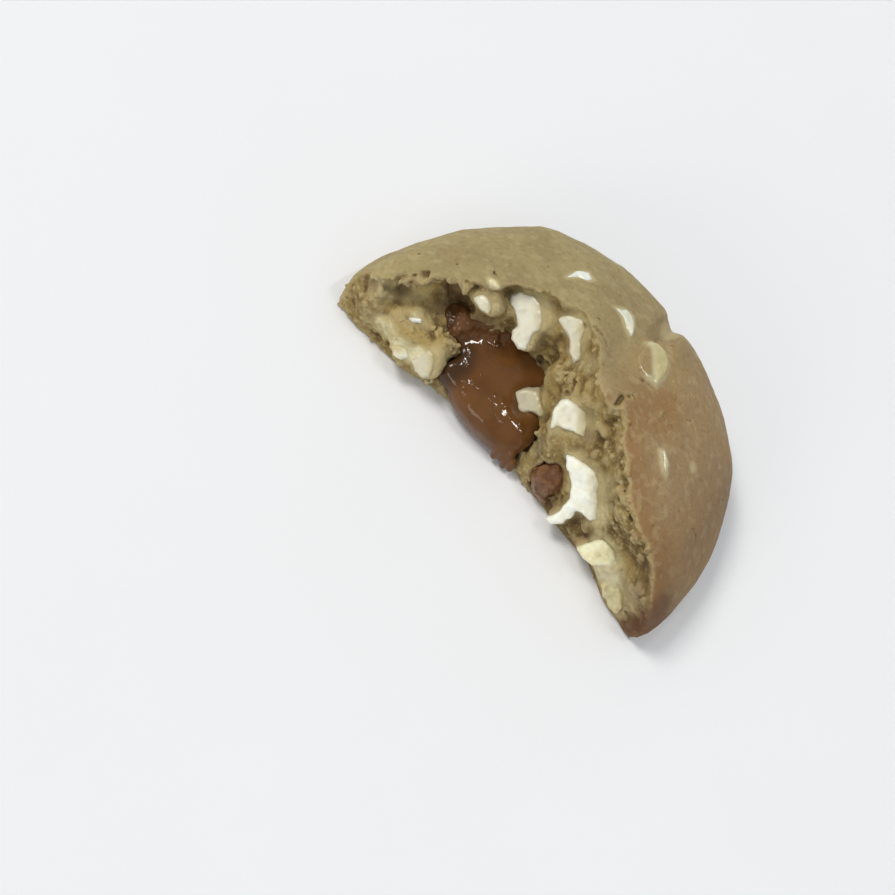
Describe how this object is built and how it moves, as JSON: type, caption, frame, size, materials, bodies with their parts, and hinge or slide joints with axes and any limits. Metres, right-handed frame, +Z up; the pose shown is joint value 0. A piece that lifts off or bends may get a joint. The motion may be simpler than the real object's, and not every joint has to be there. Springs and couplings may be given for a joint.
{
  "type": "stuffed cookie half",
  "caption": "Half of a thick domed stuffed cookie, broken across the middle: craggy crumb, white chocolate chips and a pool of soft chocolate filling at the break, resting on its flat base.",
  "frame": {"origin": "on the table under the middle of the box round the half cookie", "axes": "+X along the break, +Y from the break towards the round rim, +Z up out of the flat base"},
  "size_m": [0.1054, 0.062, 0.0326],
  "materials": {
    "dough": "baked dough: matt golden-brown crust, paler rough crumb where it is broken",
    "filling": "soft milk chocolate filling, smooth and wet-looking",
    "white_chocolate": "creamy white chocolate with a dull sheen"
  },
  "bodies": {
    "root": {"dough": "dough", "filling": "filling", "filling_pocket": "filling", "chip_roof": "white_chocolate", "chip_drip": "white_chocolate", "chip_tall": "white_chocolate", "chip_edge": "white_chocolate", "chip_hook": "white_chocolate", "chip_legs": "white_chocolate", "chip_melted": "white_chocolate", "chip_end": "white_chocolate", "chip_ledge": "white_chocolate", "chip_chunk": "white_chocolate", "chip_sliver": "white_chocolate", "chip_crescent": "white_chocolate", "chip_wedge": "white_chocolate", "chip_browned": "white_chocolate", "chip_streak": "white_chocolate"}
  },
  "joints": []
}
